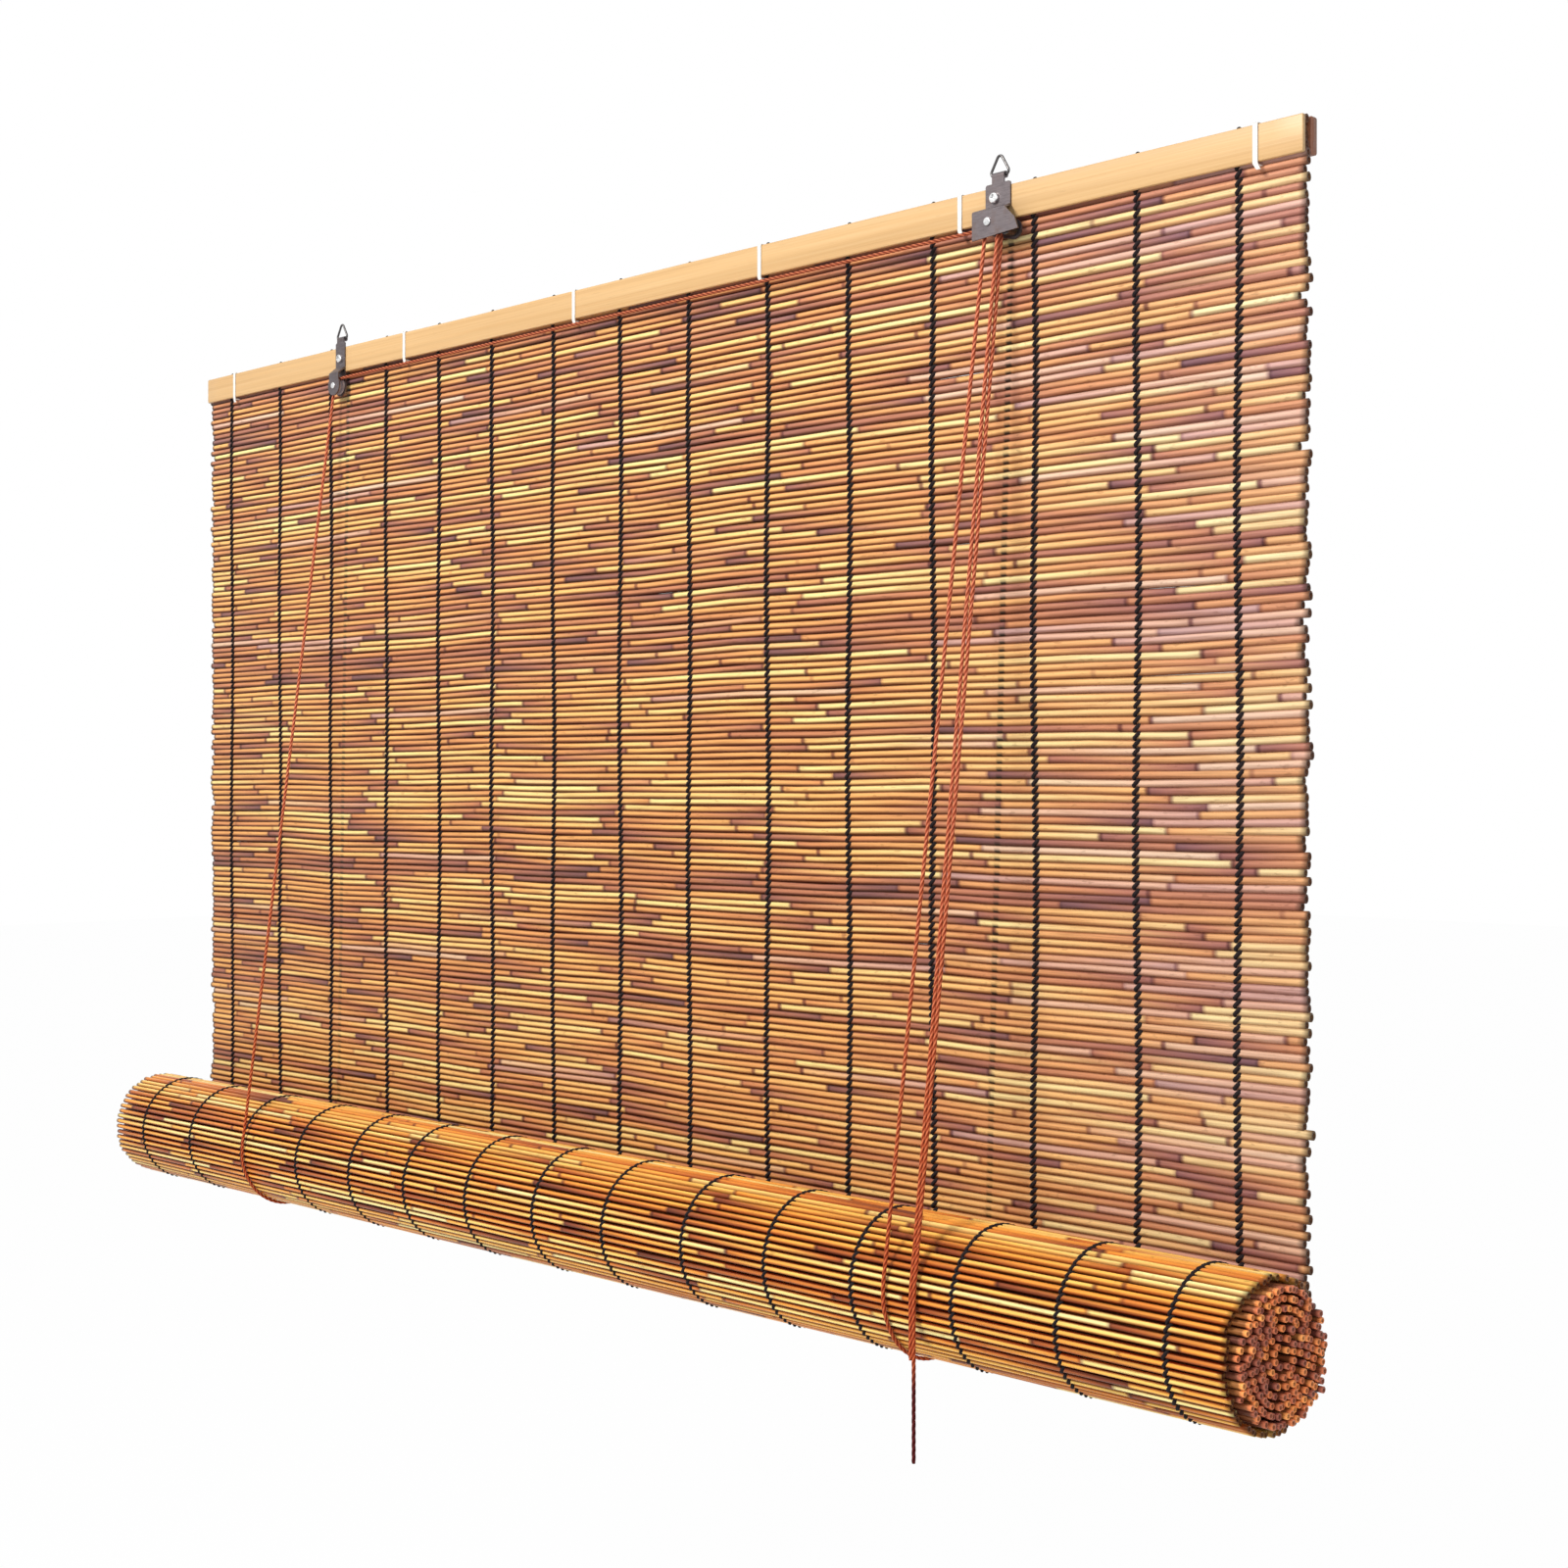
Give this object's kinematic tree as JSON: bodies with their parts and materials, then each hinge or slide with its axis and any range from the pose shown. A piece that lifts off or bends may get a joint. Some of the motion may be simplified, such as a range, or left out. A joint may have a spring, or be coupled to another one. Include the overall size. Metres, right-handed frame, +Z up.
{
  "type": "reed roll-up blind",
  "caption": "Half-lowered reed blind: woven mat on a bamboo batten, rolled up at its foot in two cord slings, with a pulley hanger, a cord lock and wire hanging rings.",
  "frame": {"origin": "centre of the rear batten's back face, which lies on the wall", "axes": "+X to the right as seen from the room, +Y towards the wall, +Z up"},
  "size_m": [1.228, 0.1061, 0.8218],
  "materials": {
    "batten": "pale bamboo with fine straight grain, satin",
    "reed": "peeled reed, golden to red-brown, satin gloss",
    "thread": "black twined thread, matte",
    "tie": "white flat tie, matte",
    "hanger": "dull grey-brown plated sheet steel",
    "pulley": "dark moulded pulley, matte",
    "bright": "bright nickel plating",
    "wire": "dull steel",
    "cord": "braided red-brown cord, matte"
  },
  "bodies": {
    "headrail": {"front_batten": "batten", "rear_batten": "batten", "batten_ties": "tie", "reed_mat": "reed", "warp_threads": "thread", "left_hanger_plate": "hanger", "left_back_cheek": "hanger", "left_pulley_rivet": "bright", "left_screw": "bright", "lock_front_plate": "hanger", "lock_back_cheek": "hanger", "lock_pulley_rivet": "bright", "lock_cam_pin": "bright", "lock_screw": "bright", "crossing_cord": "cord", "left_lift_cord_front": "cord", "left_lift_cord_back": "cord", "left_anchor_knot": "cord", "right_lift_cord_wrap": "cord", "right_lift_cord_front": "cord", "right_lift_cord_back": "cord", "right_anchor_knot": "cord", "pull_cord_strands": "cord"},
    "sling": {"left_lift_cord_sling": "cord", "right_lift_cord_sling": "cord", "pull_cord_tails": "cord"},
    "roll": {"reed_roll": "reed", "roll_threads": "thread"},
    "left_wheel": {"left_pulley": "pulley"},
    "lock_wheel": {"lock_pulley": "pulley"},
    "cam": {"lock_cam": "wire"},
    "left_hook_ring": {"left_ring": "wire"},
    "lock_hook_ring": {"lock_ring": "wire"}
  },
  "joints": [
    {"name": "roll_lift", "type": "slide", "parent": "headrail", "child": "sling", "axis": [0, 0, 1], "range_m": [0, 0.5793], "deforming": ["reed_mat", "warp_threads", "left_lift_cord_front", "left_lift_cord_back", "right_lift_cord_front", "right_lift_cord_back", "pull_cord_strands"]},
    {"name": "roll_turn", "type": "hinge", "parent": "sling", "child": "roll", "pos_m": [0, -0.0551, -0.69], "axis": [1, 0, 0], "continuous": true},
    {"name": "left_pulley_turn", "type": "hinge", "parent": "headrail", "child": "left_wheel", "pos_m": [-0.375, -0.0191, -0.0234], "axis": [0, 1, 0], "continuous": true},
    {"name": "lock_pulley_turn", "type": "hinge", "parent": "headrail", "child": "lock_wheel", "pos_m": [0.375, -0.0208, -0.0136], "axis": [0, 1, 0], "continuous": true},
    {"name": "lock_cam_turn", "type": "hinge", "parent": "headrail", "child": "cam", "pos_m": [0.3883, -0.0208, -0.019], "axis": [0, -1, 0], "range_deg": [0, 50]},
    {"name": "left_ring_swing", "type": "hinge", "parent": "headrail", "child": "left_hook_ring", "pos_m": [-0.375, -0.01395, 0.0182], "axis": [1, 0, 0], "range_deg": [-60, 120]},
    {"name": "lock_ring_swing", "type": "hinge", "parent": "headrail", "child": "lock_hook_ring", "pos_m": [0.375, -0.01395, 0.0182], "axis": [1, 0, 0], "range_deg": [-60, 120]}
  ],
  "couplings": [
    {"joint": "roll_turn", "follows": "roll_lift", "rad_per_m": -21.692},
    {"joint": "left_pulley_turn", "follows": "roll_lift", "rad_per_m": 322.58},
    {"joint": "lock_pulley_turn", "follows": "roll_lift", "rad_per_m": 370.37}
  ]
}
